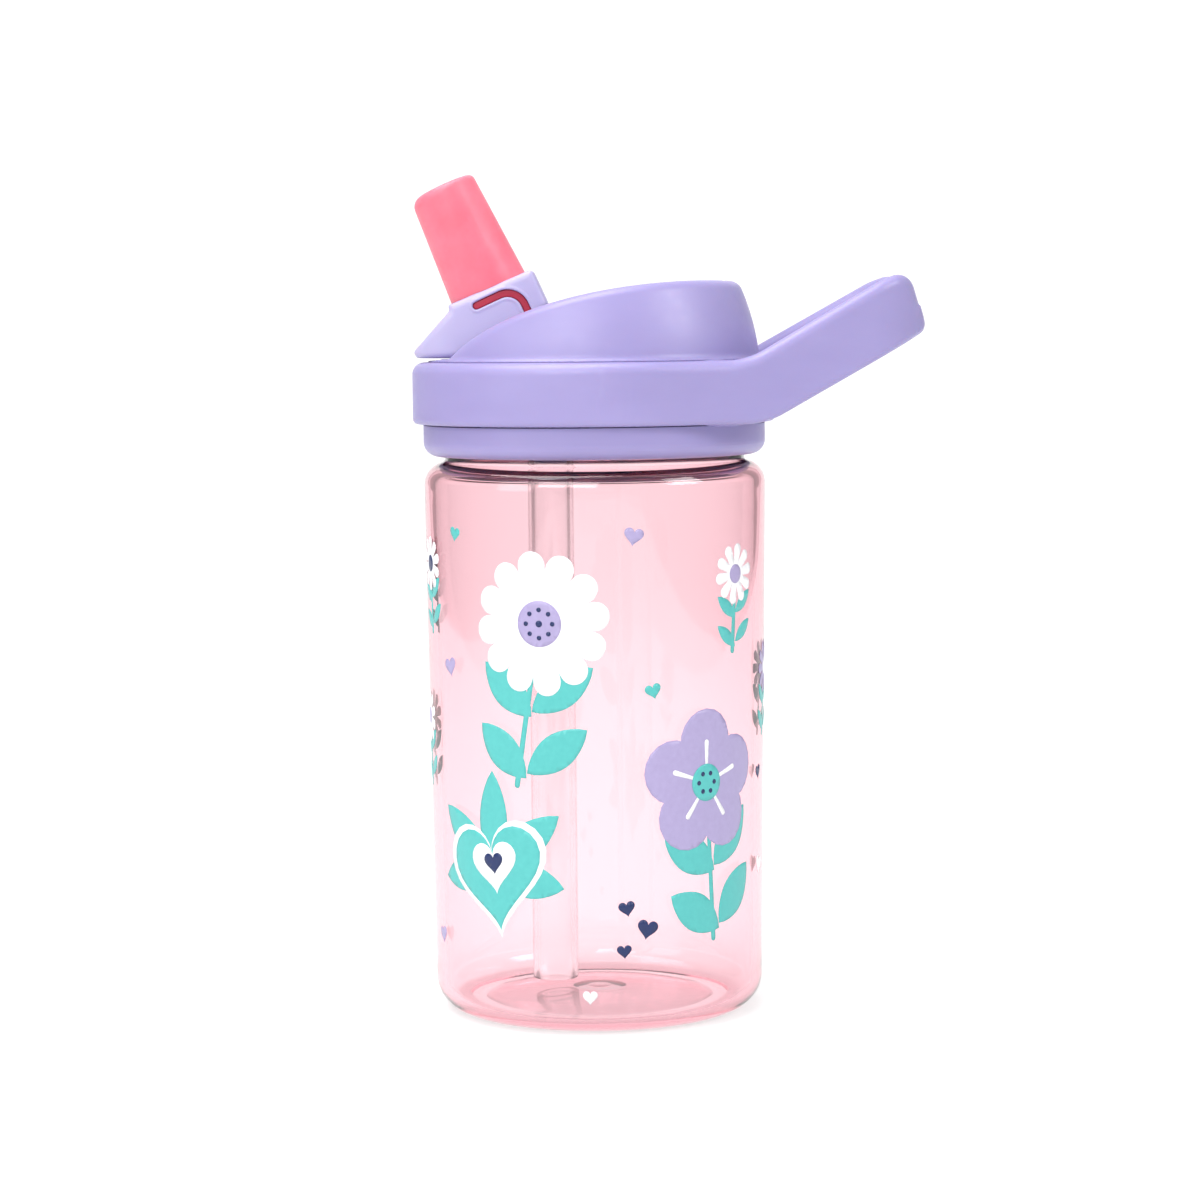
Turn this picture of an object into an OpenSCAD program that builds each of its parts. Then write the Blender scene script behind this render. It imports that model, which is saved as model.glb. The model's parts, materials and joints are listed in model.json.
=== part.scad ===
// Kids water bottle: a clear bottle, a screw cap with a carry loop, and a spout that flips up to drink.
// Millimetres, +Z up. The origin is the centre of the foot. The spout faces -X and the loop faces +X.

/* [Bottle] */
// Outer radius of the wall just below the shoulder
body_r = 36.6; // [36:0.1:37.5]
// How much narrower the wall is just above the foot
taper = 1.25; // [0:0.05:1.6]
// Height of the shoulder
shoulder_z = 118.2; // [90:0.1:180]
// Thickness of the wall
wall = 2.3; // [1.5:0.1:2.4]
// Radius of the corner at the foot
foot_corner = 6.9; // [5:0.1:8]
// Radius of the shoulder
shoulder_corner = 5; // [4.4:0.1:5.4]
// Rise of the base above the foot
push_up = 2.2; // [1:0.1:3]

/* [Neck and thread] */
// Outer radius of the neck
neck_r = 32.1; // [31.8:0.1:32.4]
// Height of the mouth above the shoulder
neck_h = 13; // [12.9:0.1:14]
// Rise of the thread in one turn
thread_pitch = 4; // [3.8:0.1:4.2]
// Height of the thread ridge above its wall
thread_depth = 1; // [0.8:0.1:1.1]
// Turns of thread on the neck
neck_turns = 1.5; // [1:0.25:1.5]
// Turns of thread in the cap
cap_turns = 1.25; // [0.75:0.25:1.25]

/* [Cap] */
// Gap between moulded walls that pass each other
gap = 0.3; // [0.25:0.05:0.4]
// Thickness of the deck above the mouth
deck_t = 2.2; // [2.1:0.1:2.4]
// Height of the skirt that shows below the collar
skirt_h = 6.9; // [6:0.1:7]
// Height of the collar
collar_h = 13.1; // [12.8:0.1:13.4]
// Thickness of the collar's wall
collar_t = 3.1; // [2.6:0.1:3.6]
// Rounding of the collar's top edge
collar_round = 2.5; // [1.5:0.1:2.6]

/* [Dome] */
// Height of the dome above the collar
dome_h = 16.7; // [15.5:0.1:18]
// Where the crown of the dome is, towards the loop
crown_x = 26; // [24:0.5:27]
// Half length of the ellipse that the dome's top follows
crown_a = 60; // [58:0.5:62]
// Half height of that ellipse
crown_b = 24.7; // [23.5:0.1:26]
// Thickness of the dome's shell
dome_t = 2; // [1.6:0.1:2.4]

/* [Carry loop] */
// How far the loop reaches from the bottle's axis
loop_reach = 71.6; // [66:0.5:80]
// Radius of the loop's outer end, seen from above
loop_end_r = 20; // [17:0.5:23]
// Thickness of the strap, seen from above
strap_t = 5; // [4:0.1:6]
// Slope of the strap's lower edge
strap_slope = 28.4; // [25:0.2:31]

/* [Spout] */
// Place of the hinge along X
hinge_x = -13.2; // [-13.6:0.1:-12.8]
// Height of the hinge above the deck
hinge_h = 7; // [6.9:0.1:7.2]
// Radius of the hinge barrel
barrel_r = 4.8; // [4.4:0.1:4.8]
// Radius of the moulded hinge pins
trunnion_r = 2.5; // [2:0.1:3]
// Lean of the open spout towards the drinker
spout_lean = 24.3; // [22:0.1:26]
// Width of the spout's shroud
shroud_w = 20.4; // [19.6:0.1:20.8]

/* [Bite valve] */
// Length of the valve that shows above the shroud
valve_h = 23.7; // [18:0.1:24]
// Width of the valve at its foot, front to back
valve_base_w = 17.1; // [15.8:0.1:17.1]
// Width of the valve at its tip, front to back
valve_tip_w = 14.2; // [11:0.1:14.2]
// Width of the valve at its foot, side to side
valve_side_w = 18; // [16.5:0.1:18]

/* [Straw] */
// Outer radius of the straw
straw_r = 4.9; // [4.3:0.1:5.2]
// Wall of the straw
straw_wall = 1.3; // [0.8:0.1:1.4]
// Place of the straw along X
straw_x = -9.5; // [-10.5:0.1:-8.5]
// Height of the straw's lower end above the foot
straw_end = 6; // [5.5:0.1:20]

/* [Hidden] */
$fn = 128;
eps = 0.01;

// Heights, from the foot up
mouth_z = shoulder_z + neck_h;
gasket_t = 1;
deck_low = mouth_z + gasket_t;
deck_top = deck_low + deck_t;
skirt_low = shoulder_z + 1.2;
collar_low = skirt_low + skirt_h;
collar_top = collar_low + collar_h;
plate_low = collar_top + 0.1;
plate_top = collar_top + 0.6;
crown_z = collar_top + dome_h;
hinge_z = deck_top + hinge_h;

// Radii, from the neck out
neck_in_r = neck_r - 1.9;
cap_root_r = neck_r + thread_depth + gap;
cap_wall_r = cap_root_r + 2.1;
skirt_r = cap_wall_r + 1.1;
collar_in_r = cap_wall_r + gap;
collar_r = collar_in_r + collar_t;
lip_r = collar_in_r - 1.5;
ledge_z = deck_top + 0.2;

// Parts of the bottle's wall
foot_r = body_r - taper - foot_corner;
foot_ring_r = foot_r - 4.5;
shoulder_r = body_r - shoulder_corner;
base_sphere_r = (foot_ring_r * foot_ring_r + push_up * push_up) / (2 * push_up);
floor_t = 2.2;
gate_r = 5;
gate_depth = 0.4;

// Thread ridges: half their height at the root and at the crest
thread_root = 1.15;
thread_crest = 0.65;
thread_start = shoulder_z + 3;
ridges_per_turn = 8;
ridge_arc = 37;

// The channel in the dome that takes the folded spout
channel_w = shroud_w + 0.8;
channel_front = hinge_x - barrel_r - 0.4;
channel_wall = 2;
channel_end_gap = 0.5;
trunnion_end = channel_w / 2 + channel_wall - 0.2;
trunnion_fit = 0.06;

// The dome's wall bulges on an arc
bulge_r = 50;
bulge_z = collar_top - 4.5;

// The way from the straw to the spout
spigot_fit = 0.05;
spigot_bore = 2.4;
spigot_h = 7;
port_bore = 2.2;
boss_r = 6.4;
boss_h = 4.6;
boss_floor_t = 1.2;
way_h = 2;
boss_low = deck_low - boss_h;
spigot_low = boss_low - spigot_h;
seal_r = 3.6;
seal_low = deck_top - 0.8;
seal_top = hinge_z - 4;
seal_fit = 0.05;

// The vent beside the channel
vent_x = 8;
vent_y = -22;
vent_stem_r = 1;
vent_hole_r = 0.6;
vent_ring_r = 2.4;
umbrella_r = 4;

// The spout, on the valve's own axis: u is across and w is along it, both from the hinge
valve_u = -2.7;
mouth_w = 16.3;
socket_w = 8;
nozzle_r = 4.4;
nozzle_top = mouth_w + 6;
nozzle_bore = 2.6;
nose_u = -23.5;
nose_w = 10.75;
underside = -1.1;
keel_front = -18.4;
shroud_back = 7.6;
back_low = 7.6;
slot_w = 1.3;
slot_fit = 0.12;
valve_fit = 0.1;
valve_side_taper = -1.6;
hook_bend = [-0.9, 9.7];
hook_bend_r = 4;
hook_start_u = -6.3;
hook_end_w = 6.4;
channel_end = hinge_x + mouth_w + valve_h + channel_end_gap;

// ---------- shapes shared by several parts ----------

function unit(v) = v / norm(v);
function xy(p) = [p[0], p[1]];

// Points from start to finish on the arc around a centre
function arc_between(centre, start, finish, steps) =
    let (a = start - centre, b = finish - centre, turn = acos(unit(a) * unit(b)))
    [for (i = [0:steps]) centre + (a * sin(turn * (1 - i / steps)) + b * sin(turn * i / steps)) / sin(turn)];

// The points of an outline whose corners, [x, y, radius], are rounded
function rounded(corners, steps = 6) = [
    for (i = [0:len(corners) - 1])
        let (
            n = len(corners),
            r = corners[i][2],
            p = xy(corners[i]),
            back = unit(xy(corners[(i + n - 1) % n]) - p),
            ahead = unit(xy(corners[(i + 1) % n]) - p),
            half = acos(back * ahead) / 2
        )
        each (r == 0 ? [p] : arc_between(
            p + unit(back + ahead) * r / sin(half),
            p + back * r / tan(half),
            p + ahead * r / tan(half),
            steps
        ))
];

// An outline in X and Z, extruded along Y to a width centred on the X axis
module slab(width) rotate([90, 0, 0]) linear_extrude(width, center = true) children();

// A short cylinder across the part, along Y
module cross_pin(r, from, to) translate([0, to, 0]) rotate([90, 0, 0]) cylinder(r = r, h = to - from);

// An upright tube between two heights
module tube(r, bore, low, top) difference() {
    translate([0, 0, low]) cylinder(r = r, h = top - low);
    translate([0, 0, low - 1]) cylinder(r = bore, h = top - low + 2);
}

// A thread made of short ridges on a round wall, with air gaps between them. Each ridge is a piece of a ring,
// tilted to the thread's slope. A negative depth stands the ridges inwards.
module thread(root_r, depth, start_turn, turns) {
    tilt = atan(thread_pitch / (2 * PI * root_r));
    sink = 0.4 * sign(depth);
    for (i = [0.5:turns * ridges_per_turn])
        translate([0, 0, thread_start + thread_pitch * i / ridges_per_turn])
        rotate([tilt, 0, 360 * (start_turn + i / ridges_per_turn)])
        rotate(-ridge_arc / 2) rotate_extrude(angle = ridge_arc) polygon([
            [root_r - sink, -thread_root],
            [root_r + depth, -thread_crest],
            [root_r + depth, thread_crest],
            [root_r - sink, thread_root]
        ]);
}

// ---------- bottle ----------

// The bottle's outline up to the shoulder, inset from the outside
module body_outline(inset) {
    polygon([
        [0, inset],
        [foot_r, inset],
        [foot_r + foot_corner - inset, foot_corner],
        [body_r - inset, shoulder_z - shoulder_corner],
        [shoulder_r, shoulder_z - inset],
        [0, shoulder_z - inset]
    ]);
    translate([foot_r, foot_corner]) circle(foot_corner - inset);
    translate([shoulder_r, shoulder_z - shoulder_corner]) circle(shoulder_corner - inset);
}

module bottle_profile() difference() {
    union() {
        body_outline(0);
        square([neck_r, mouth_z]);
    }
    difference() {
        union() {
            body_outline(wall);
            translate([0, shoulder_z / 2]) square([neck_in_r, mouth_z]);
        }
        translate([0, push_up + floor_t - base_sphere_r]) circle(base_sphere_r, $fn = 360);
    }
    translate([0, push_up - base_sphere_r]) circle(base_sphere_r, $fn = 360);
    square([gate_r, push_up + gate_depth]);
    translate([-2 * body_r, -1]) square([2 * body_r, mouth_z + 2]);
}

module bottle_body() color([0.98, 0.78, 0.85, 0.55]) {
    rotate_extrude() bottle_profile();
    thread(neck_r, thread_depth, 0, neck_turns);
}

// ---------- cap ----------

module cap_gasket() color([0.93, 0.93, 0.95])
    tube(cap_root_r - 0.5, neck_in_r - 0.2, mouth_z, deck_low);

// The cap's wall, its skirt with a rounded lower edge, and the deck
module cap_profile() {
    translate([cap_root_r, skirt_low + 1]) square([cap_wall_r - cap_root_r, deck_top - skirt_low - 1]);
    polygon(rounded([
        [cap_root_r, skirt_low, 0],
        [skirt_r, skirt_low, skirt_r - cap_root_r - 0.2],
        [skirt_r, collar_low - gap, 0],
        [cap_root_r, collar_low - gap, 0]
    ], 8));
    translate([0, deck_low]) square([cap_wall_r, deck_t]);
}

// The boss under the deck, the spigot that the straw is pushed onto, and the seat of the seal
module straw_port() {
    translate([(straw_x + hinge_x) / 2, 0, boss_low]) cylinder(r = boss_r, h = boss_h + eps);
    translate([straw_x, 0, spigot_low])
        cylinder(r = straw_r - straw_wall - spigot_fit, h = spigot_h + eps);
    translate([hinge_x, 0, deck_top - eps]) cylinder(r = seal_r + 1, h = hinge_z - barrel_r - gap - deck_top);
}

// The bores from the straw, across inside the boss, and up to the hinge barrel
module straw_way() {
    way_low = boss_low + boss_floor_t;
    translate([straw_x, 0, spigot_low - 1]) cylinder(r = spigot_bore, h = way_low + way_h - spigot_low + 1);
    translate([hinge_x, 0, way_low]) cylinder(r = port_bore, h = hinge_z - way_low);
    translate([hinge_x, -port_bore, way_low]) cube([straw_x - hinge_x, 2 * port_bore, way_h]);
    translate([hinge_x, 0, seal_low]) cylinder(r = seal_r + seal_fit, h = hinge_h);
}

// The hole for the vent valve's stem, with four air holes around it
module vent_holes() translate([vent_x, vent_y, deck_low - 1]) {
    cylinder(r = vent_stem_r + seal_fit, h = deck_t + 2);
    for (a = [0:90:270]) rotate(a) translate([vent_ring_r, 0, 0]) cylinder(r = vent_hole_r, h = deck_t + 2);
}

module cap_base() color([0.71, 0.67, 0.87]) {
    difference() {
        union() {
            rotate_extrude() cap_profile();
            straw_port();
        }
        straw_way();
        vent_holes();
    }
    thread(cap_root_r, -thread_depth, -0.5, cap_turns);
}

// ---------- dome ----------

// Half outline of the dome's wall, which leans in along an arc
module dome_wall(inset) {
    bulge_x = cap_wall_r - sqrt(bulge_r * bulge_r - pow(plate_top - bulge_z, 2));
    steps = 8;
    polygon(concat(
        [[0, plate_low], [cap_wall_r - inset, plate_low]],
        [for (i = [0:steps])
            let (z = plate_top + (crown_z - plate_top) * i / steps)
            [bulge_x - inset + sqrt(bulge_r * bulge_r - pow(z - bulge_z, 2)), z]],
        [[0, crown_z]]
    ));
}

// Side outline under the dome's top, which falls away to the front along an ellipse
module dome_side(inset) {
    steps = 18;
    centre_z = crown_z - crown_b;
    half_h = crown_b - inset;
    sweep = 90 - asin((plate_low - centre_z) / half_h);
    polygon(concat(
        [[cap_wall_r, plate_low], [cap_wall_r, crown_z - inset]],
        [for (i = [0:steps])
            let (a = 90 + sweep * i / steps)
            [crown_x + (crown_a - inset) * cos(a), centre_z + half_h * sin(a)]]
    ));
}

// The dome without its foot, inset from its outside
module dome_solid(inset) intersection() {
    rotate_extrude() dome_wall(inset);
    slab(2 * collar_r) dome_side(inset);
}

// The plate that traps the collar, and the wall below it that stands on the deck
module dome_foot() {
    ring_r = lip_r - gap;
    difference() {
        union() {
            translate([0, 0, plate_low]) cylinder(r = cap_wall_r, h = plate_top - plate_low);
            translate([0, 0, deck_top]) cylinder(r = ring_r, h = plate_low - deck_top + eps);
        }
        translate([0, 0, deck_top - 1]) cylinder(r = ring_r - dome_t, h = plate_top - deck_top + 1 - dome_t);
    }
}

// A block about the X axis that reaches above the dome, for the channel's walls and its space
module channel_block(side, back, front, low) translate([front, -side, low])
    cube([back - front, 2 * side, crown_z - low + 1]);

module dome_cover() color([0.79, 0.76, 0.93]) difference() {
    union() {
        difference() {
            union() {
                dome_solid(0);
                dome_foot();
            }
            dome_solid(dome_t);
        }
        intersection() {
            union() {
                dome_solid(0);
                translate([0, 0, deck_top]) cylinder(r = lip_r - gap, h = plate_top - deck_top);
            }
            channel_block(channel_w / 2 + channel_wall, channel_end + channel_wall, -collar_r, deck_top);
        }
    }
    channel_block(channel_w / 2, channel_end, channel_front, deck_top - 1);
    channel_block(channel_w / 2, 0, -collar_r, plate_top);
    translate([hinge_x, 0, hinge_z]) cross_pin(trunnion_r + trunnion_fit, -collar_r / 2, collar_r / 2);
}

// ---------- carry loop ----------

// The loop from above, inset from the outside: its round end, and the tangents from there to the collar
module loop_plan(inset) {
    end_x = loop_reach - loop_end_r;
    lean = asin((collar_r - loop_end_r) / end_x);
    root_r = collar_r - inset;
    end_r = loop_end_r - inset;
    translate([end_x, 0]) circle(end_r);
    polygon([for (side = [-1, 1], end = [0, 1])
        let (r = (side < 0) == (end == 0) ? root_r : end_r, x = (side < 0) == (end == 0) ? 0 : end_x)
        [x + r * sin(lean), side * r * cos(lean)]]);
}

// The strap from the side: level at the collar, then rising to its rounded end, which leans back
module strap_side() {
    low_bend = collar_r - 3.3;
    top_bend = collar_r - 7.5;
    end_x = loop_reach - 0.3;
    end_h = 12.5;
    end_lean = 21;
    end_low = [end_x, collar_low + (end_x - low_bend) * tan(strap_slope)];
    end_top = end_low + end_h * [-tan(end_lean), 1];
    crown = end_top - [6.3, 2.4];
    polygon(rounded([
        [0, collar_low, 0],
        [low_bend, collar_low, 17],
        [end_low[0], end_low[1], 2.2],
        [end_top[0], end_top[1], 4],
        [crown[0], crown[1], 12],
        [top_bend, collar_top, 17],
        [0, collar_top, 0]
    ], 8));
}

// The collar, with an inner lip that rests on the cap
module collar_profile() polygon(rounded([
    [collar_in_r, collar_low, 0],
    [collar_r, collar_low, 1],
    [collar_r, collar_top, collar_round],
    [lip_r, collar_top, 0],
    [lip_r, ledge_z, 0],
    [collar_in_r, ledge_z, 0]
], 8));

module carry_handle() color([0.71, 0.67, 0.87]) {
    rotate_extrude() collar_profile();
    difference() {
        intersection() {
            translate([0, 0, collar_low]) linear_extrude(2 * collar_h + dome_h) difference() {
                loop_plan(0);
                loop_plan(strap_t);
            }
            slab(2 * collar_r + 2) strap_side();
        }
        translate([0, 0, collar_low - 1]) cylinder(r = collar_in_r + collar_t / 2, h = 2 * collar_h);
    }
}

// ---------- straw and seals ----------

module straw() color([0.99, 0.93, 0.95, 0.5]) translate([straw_x, 0, 0])
    tube(straw_r, straw_r - straw_wall, straw_end, boss_low - gap);

// The silicone seat that hugs the hinge barrel
module port_seal() color([0.95, 0.95, 0.97]) difference() {
    translate([hinge_x, 0, 0]) tube(seal_r, port_bore, seal_low, seal_top);
    translate([hinge_x, 0, hinge_z]) cross_pin(barrel_r + seal_fit, -2 * seal_r, 2 * seal_r);
}

// A silicone umbrella under the deck, held by the bulb on its stem
module vent_valve() color([0.95, 0.95, 0.97]) translate([vent_x, vent_y, 0]) {
    rim_h = 0.8;
    bulb_h = 1.8;
    translate([0, 0, deck_low - 0.1 - rim_h]) cylinder(r1 = umbrella_r - rim_h, r2 = umbrella_r, h = rim_h);
    translate([0, 0, deck_low - 0.2]) cylinder(r = vent_stem_r, h = deck_t + 0.6);
    translate([0, 0, deck_top + 0.1]) cylinder(r1 = vent_stem_r + 0.7, r2 = vent_stem_r - 0.3, h = bulb_h);
}

// ---------- spout and bite valve ----------

// From the hinge out; and from there along the valve's own axis
module at_hinge() translate([hinge_x, 0, hinge_z]) children();
module along_valve() at_hinge() rotate([0, -spout_lean, 0]) children();

// A point of the part's own X and Z, taken from the hinge, on the valve's axis
function leaned(x, z) = [
    x * cos(spout_lean) + z * sin(spout_lean),
    z * cos(spout_lean) - x * sin(spout_lean)
];

// Side outline of the shroud: nose, underside, back, mouth, and the front slope
module shroud_side() {
    under_front = leaned(keel_front, underside);
    under_back = leaned(-1, underside);
    mouth_front = valve_u - valve_base_w / 2 - 0.5;
    polygon(rounded([
        [nose_u, nose_w, 0.5],
        [nose_u + 0.6, nose_w - 1.6, 0.6],
        [under_front[0], under_front[1], 3],
        [under_back[0], under_back[1], 0],
        [barrel_r / 2, barrel_r * 0.8, 0],
        [shroud_back, back_low, 1.2],
        [shroud_back, mouth_w - 0.5, 0.9],
        [mouth_front, mouth_w, 0.2],
        [mouth_front - 0.2, mouth_w - 1.2, 1],
        [nose_u + 2.8, nose_w + 0.7, 3]
    ]));
}

// The shroud from above: straight sides and a round bow
module shroud_plan() {
    bow_x = nose_reach() + shroud_w / 2;
    translate([bow_x, 0]) circle(d = shroud_w);
    translate([bow_x, -shroud_w / 2]) square([hinge_x + 3 * barrel_r - bow_x, shroud_w]);
}

// X of the nose's tip
function nose_reach() = hinge_x + nose_u * cos(spout_lean) - nose_w * sin(spout_lean);

// Half widths of the tapered valve at a height along its axis: across, and side to side
function valve_half(w) = let (t = (w - mouth_w) / valve_h) [
    (valve_base_w + (valve_tip_w - valve_base_w) * t) / 2,
    (valve_side_w + valve_side_taper * t) / 2
];

// A thin oval disc on the valve's axis
module oval(half, w) translate([valve_u, 0, w]) scale([half[0], half[1], 1])
    cylinder(r = 1, h = 0.1, $fn = 48);

// A hook-shaped band: straight, round a quarter bend, and down. It is shortened by extra at both ends.
module hook_outline(width, extra) {
    outer = hook_bend_r + width / 2;
    inner = hook_bend_r - width / 2;
    polygon(concat(
        [[hook_start_u + extra, hook_bend[1] + outer]],
        arc_between(hook_bend, hook_bend + [0, outer], hook_bend + [outer, 0], 6),
        [[hook_bend[0] + outer, hook_end_w + extra], [hook_bend[0] + inner, hook_end_w + extra]],
        arc_between(hook_bend, hook_bend + [inner, 0], hook_bend + [0, inner], 6),
        [[hook_start_u + extra, hook_bend[1] + inner]]
    ));
}

// The hook-shaped slot in each side of the shroud, or the rib of the valve that fills it
module hooks(width, extra, from, to) for (side = [-1, 1])
    translate([0, side * (from + to) / 2, 0]) slab(to - from) hook_outline(width, extra);

module spout() color([0.8, 0.77, 0.94]) difference() {
    union() {
        intersection() {
            along_valve() slab(shroud_w) shroud_side();
            translate([0, 0, deck_top]) linear_extrude(60) shroud_plan();
        }
        at_hinge() cross_pin(barrel_r, -shroud_w / 2, shroud_w / 2);
        at_hinge() cross_pin(trunnion_r, -trunnion_end, trunnion_end);
        along_valve() translate([valve_u, 0, 3]) cylinder(r = nozzle_r, h = nozzle_top - 3);
    }
    along_valve() difference() {
        hull() {
            oval(valve_half(socket_w) + [valve_fit, valve_fit], socket_w);
            oval(valve_half(nozzle_top + 1) + [valve_fit, valve_fit], nozzle_top + 1);
        }
        translate([valve_u, 0, 0]) cylinder(r = nozzle_r, h = nozzle_top);
    }
    along_valve() hooks(slot_w, 0, nozzle_r + 1.4, shroud_w / 2 + 1);
    along_valve() translate([valve_u, 0, 5]) cylinder(r = nozzle_bore, h = nozzle_top);
    along_valve() rotate([0, atan(valve_u / 6), 0]) cylinder(r = nozzle_bore - 0.2, h = 7);
    at_hinge() translate([0, 0, -barrel_r - 1]) cylinder(r = port_bore, h = barrel_r + 1);
}

module bite_valve() color([0.98, 0.6, 0.67]) along_valve() difference() {
    union() {
        hull() {
            oval(valve_half(socket_w), socket_w + valve_fit);
            oval(valve_half(mouth_w + valve_h), mouth_w + valve_h - 1.4);
            oval(valve_half(mouth_w + valve_h) - [1.3, 1.3], mouth_w + valve_h - 0.1);
        }
        hooks(slot_w - 2 * slot_fit, slot_fit, nozzle_r + 1.5, shroud_w / 2 - 0.5);
    }
    translate([valve_u, 0, 0]) cylinder(r = nozzle_r + seal_fit, h = mouth_w + valve_h - 2.4);
    translate([valve_u - 0.2, -nozzle_r, mouth_w]) cube([0.4, 2 * nozzle_r, valve_h + 1]);
}

bottle_body();
cap_gasket();
cap_base();
dome_cover();
carry_handle();
straw();
port_seal();
vent_valve();
spout();
bite_valve();
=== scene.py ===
"""Looks for the kids water bottle: finer mouldings, clear and soft plastics, and the print on the wall.

Shapes are worked out in millimetres and turned into metres when a mesh is made. +X is the carry loop's
side, the spout leans to -X, and the camera looks along +Y.
"""

import json
import math

import bmesh
import bpy
import numpy as np
import openvdb
from mathutils import Euler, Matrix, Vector, geometry


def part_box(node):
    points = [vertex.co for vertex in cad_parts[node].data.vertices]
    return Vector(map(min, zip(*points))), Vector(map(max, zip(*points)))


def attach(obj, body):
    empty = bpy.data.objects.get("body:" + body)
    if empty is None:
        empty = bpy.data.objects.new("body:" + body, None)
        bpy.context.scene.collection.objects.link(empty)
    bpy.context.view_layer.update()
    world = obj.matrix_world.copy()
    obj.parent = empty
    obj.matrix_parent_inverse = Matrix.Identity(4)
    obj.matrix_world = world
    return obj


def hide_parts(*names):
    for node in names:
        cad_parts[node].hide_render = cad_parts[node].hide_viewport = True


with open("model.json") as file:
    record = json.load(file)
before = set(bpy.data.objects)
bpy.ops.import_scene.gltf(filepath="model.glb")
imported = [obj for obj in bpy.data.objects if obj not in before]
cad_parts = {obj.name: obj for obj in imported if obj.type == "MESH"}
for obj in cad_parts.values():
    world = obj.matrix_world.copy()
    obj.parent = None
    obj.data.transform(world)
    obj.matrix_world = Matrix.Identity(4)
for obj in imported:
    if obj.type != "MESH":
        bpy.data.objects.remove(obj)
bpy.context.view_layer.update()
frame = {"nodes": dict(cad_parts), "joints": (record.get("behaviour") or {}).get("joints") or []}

MM = 0.001


# ---------- sizes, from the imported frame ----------

def box_mm(node):
    """The lowest and highest corners of a CAD node, in millimetres."""
    return tuple(np.array(corner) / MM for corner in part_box(node))


def joint_point(name):
    """A joint's point in the frame, in millimetres."""
    joint = next(j for j in frame["joints"] if j["name"] == name)
    return np.array(joint["pos_m"]) / MM


bottle_high = box_mm("bottle_body")[1]
cap_high = box_mm("cap_base")[1]
dome_low, dome_high = box_mm("dome_cover")
loop_low, loop_high = box_mm("carry_handle")
straw_low, straw_high = box_mm("straw")
spout_low, spout_high = box_mm("spout")
valve_low, valve_high = box_mm("bite_valve")
hinge = joint_point("spout_flip")

# The bottle: taper is how much narrower the wall is at the foot, and push_up is how far its base is domed.
body_r = bottle_high[0]
mouth_z = bottle_high[2]
neck_h = 13.0
shoulder_z = mouth_z - neck_h
taper = 1.25
wall = 2.3
foot_corner = 6.9
shoulder_corner = 5.0
push_up = 2.2
floor_t = 2.2
neck_r = 32.1
neck_t = 1.9
neck_in_r = neck_r - neck_t

# The cap: the collar fits round the dome's foot and the cap's wall with a gap, and holds them with its lip.
deck_top = dome_low[2]
crown_z = dome_high[2]
cap_wall_r = dome_high[0]
skirt_r = cap_high[0]
collar_low = loop_low[2]
collar_h = 13.1
collar_top = collar_low + collar_h
collar_r = loop_high[1]
gap = 0.3
collar_in_r = cap_wall_r + gap
lip_w = 1.5
lip_r = collar_in_r - lip_w
beyond = 9.0  # how far a cutting block runs past what it cuts

# The spout: its mouth is this far along the leaning axis from the hinge, and the valve stands above it.
spout_lean = math.radians(24.3)
mouth_w = 16.3
valve_h = 23.7
trunnion_r = 2.5


# ---------- meshes ----------

def add_piece(name, points, faces, body, slot, material, *replaced):
    """A smooth mesh from millimetre points, riding on a body and standing for CAD nodes."""
    mesh = bpy.data.meshes.new(name)
    mesh.from_pydata((np.asarray(points) * MM).tolist(), [], faces)
    work = bmesh.new()
    work.from_mesh(mesh)
    bmesh.ops.remove_doubles(work, verts=work.verts, dist=1e-7)
    bmesh.ops.recalc_face_normals(work, faces=work.faces)
    work.to_mesh(mesh)
    work.free()
    mesh.polygons.foreach_set("use_smooth", [True] * len(mesh.polygons))
    mesh.materials.append(material)
    piece = bpy.data.objects.new(name, mesh)
    bpy.context.scene.collection.objects.link(piece)
    if replaced:
        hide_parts(*replaced)
    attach(piece, body)
    return piece


def arc(centre, radius, start, end, steps):
    """Points on an arc, between two angles in degrees."""
    angles = np.radians(np.linspace(start, end, steps + 1))
    return [(centre[0] + radius * math.cos(a), centre[1] + radius * math.sin(a)) for a in angles]


def straight(start, end, steps):
    """Points along a straight line, without the last one."""
    return [tuple(np.array(start) + (np.array(end) - start) * i / steps) for i in range(steps)]


def lathe(profile, turns, closed=False, ridge=None, centre_x=0.0):
    """Points and faces of a solid of revolution. A profile that isn't closed starts and ends on the axis."""
    profile = np.array(profile)
    angles = np.linspace(0, 2 * math.pi, turns, endpoint=False)
    radius = np.repeat(profile[:, :1], turns, axis=1)
    height = np.repeat(profile[:, 1:], turns, axis=1)
    if ridge:
        radius = radius + ridge(radius, height, angles[None, :])
    points = np.stack([radius * np.cos(angles) + centre_x, radius * np.sin(angles), height], axis=-1)
    rows = len(profile)
    faces = []
    for row in range(rows if closed else rows - 1):
        below, above = row * turns, (row + 1) % rows * turns
        for turn in range(turns):
            ahead = (turn + 1) % turns
            faces.append((below + turn, below + ahead, above + ahead, above + turn))
    return points.reshape(-1, 3), faces


# ---------- shapes as distance fields ----------
# A field holds the distance to a surface in millimetres, negative inside, on a grid of points.

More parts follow.
